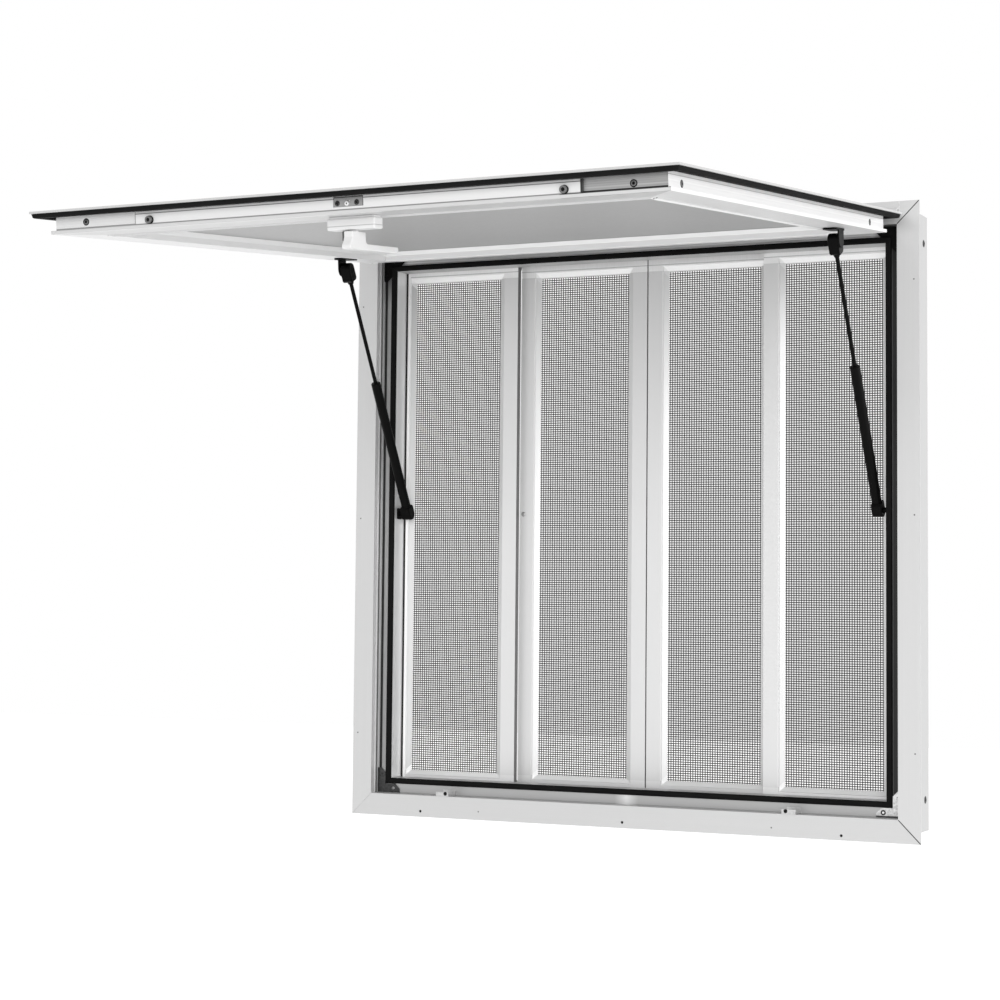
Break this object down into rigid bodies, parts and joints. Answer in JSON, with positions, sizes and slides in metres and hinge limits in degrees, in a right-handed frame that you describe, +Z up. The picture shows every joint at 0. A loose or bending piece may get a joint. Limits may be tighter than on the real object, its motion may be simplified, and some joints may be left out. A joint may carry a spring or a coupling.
{
  "type": "concession window",
  "caption": "Square serving window: wall frame with sliding screens and a top-hung awning door held open by gas struts.",
  "frame": {"origin": "on the back face of the wall flange, middle of its bottom strip that laps over the wall", "axes": "+X to the right seen from outside, +Y into the wall, +Z up; the awning stands out towards -Y"},
  "size_m": [0.94, 0.9998, 0.94],
  "materials": {
    "frame_alloy": "satin anodised",
    "liner_alloy": "satin anodised",
    "screen_alloy": "satin anodised",
    "screen_net": "coated screen net",
    "black_rubber": "matt",
    "awning_skin_paint": "smooth light coating on sheet",
    "rail_alloy": "brushed",
    "inner_panel_paint": "smooth grey coating on sheet",
    "zinc_steel": "zinc plated",
    "white_coating": "white powder coat",
    "strut_black": "black satin"
  },
  "bodies": {
    "frame": {"frame_sill": "frame_alloy", "frame_head": "frame_alloy", "frame_jamb_left": "frame_alloy", "frame_jamb_right": "frame_alloy", "liner_sill": "liner_alloy", "liner_head": "liner_alloy", "liner_jamb_left": "liner_alloy", "liner_jamb_right": "liner_alloy", "seal_sill": "black_rubber", "seal_head": "black_rubber", "seal_jamb_left": "black_rubber", "seal_jamb_right": "black_rubber", "corner_bracket_bottom_left": "zinc_steel", "corner_bracket_bottom_right": "zinc_steel", "corner_bracket_top_left": "zinc_steel", "corner_bracket_top_right": "zinc_steel", "screen_frame_outer_left": "screen_alloy", "screen_frame_inner_left": "screen_alloy", "screen_frame_inner_right": "screen_alloy", "screen_frame_outer_right": "screen_alloy", "screen_mesh_outer_left": "screen_net", "screen_mesh_inner_left": "screen_net", "screen_mesh_inner_right": "screen_net", "screen_mesh_outer_right": "screen_net", "screen_pin_lock": "zinc_steel", "hinge_frame_half": "rail_alloy", "strike_left": "zinc_steel", "strike_right": "zinc_steel", "strut_stud_left": "strut_black", "strut_stud_right": "strut_black"},
    "awning": {"awning_skin": "awning_skin_paint", "awning_inner_panel": "inner_panel_paint", "hinge_awning_half": "rail_alloy", "lock_housing": "white_coating", "strut_tab_left": "strut_black", "strut_tab_right": "strut_black", "awning_gasket_front": "black_rubber", "awning_gasket_rear": "black_rubber", "awning_gasket_left": "black_rubber", "awning_gasket_right": "black_rubber", "awning_rail_front": "rail_alloy", "awning_rail_rear": "rail_alloy", "awning_rail_left": "rail_alloy", "awning_rail_right": "rail_alloy"},
    "lever": {"lock_lever": "white_coating", "lock_release": "strut_black"},
    "bar": {"lock_bar": "white_coating", "lock_bar_plate": "zinc_steel"},
    "rod_left": {"strut_rod_left": "strut_black"},
    "rod_right": {"strut_rod_right": "strut_black"},
    "cylinder_left": {"strut_cylinder_left": "strut_black"},
    "cylinder_right": {"strut_cylinder_right": "strut_black"}
  },
  "joints": [
    {"name": "awning_hinge", "type": "hinge", "parent": "frame", "child": "awning", "pos_m": [0, -0.018, 0.9145], "axis": [1, 0, 0], "range_deg": [0, 85]},
    {"name": "lever_turn", "type": "hinge", "parent": "awning", "child": "lever", "pos_m": [0, -0.84766, 0.79403], "axis": [0, 0.0872, -0.9962], "range_deg": [0, 90]},
    {"name": "bar_slide", "type": "slide", "parent": "awning", "child": "bar", "axis": [-1, 0, 0], "range_m": [0, 0.0281]},
    {"name": "strut_swing_left", "type": "hinge", "parent": "awning", "child": "rod_left", "pos_m": [-0.3953, -0.17425, 0.85315], "axis": [1, 0, 0], "range_deg": [-112.92, 0]},
    {"name": "strut_swing_right", "type": "hinge", "parent": "awning", "child": "rod_right", "pos_m": [0.3953, -0.17425, 0.85315], "axis": [1, 0, 0], "range_deg": [-112.92, 0]},
    {"name": "strut_stroke_left", "type": "slide", "parent": "rod_left", "child": "cylinder_left", "axis": [0, -0.4914, 0.871], "range_m": [0, 0.15512]},
    {"name": "strut_stroke_right", "type": "slide", "parent": "rod_right", "child": "cylinder_right", "axis": [0, -0.4914, 0.871], "range_m": [0, 0.15512]}
  ],
  "couplings": [
    {"joint": "bar_slide", "follows": "lever_turn", "m_per_rad": 0.017825},
    {"joint": "strut_swing_left", "follows": "awning_hinge", "ratio": -1.3278},
    {"joint": "strut_swing_right", "follows": "awning_hinge", "ratio": -1.3278},
    {"joint": "strut_stroke_left", "follows": "awning_hinge", "m_per_rad": 0.1045},
    {"joint": "strut_stroke_right", "follows": "awning_hinge", "m_per_rad": 0.1045}
  ]
}
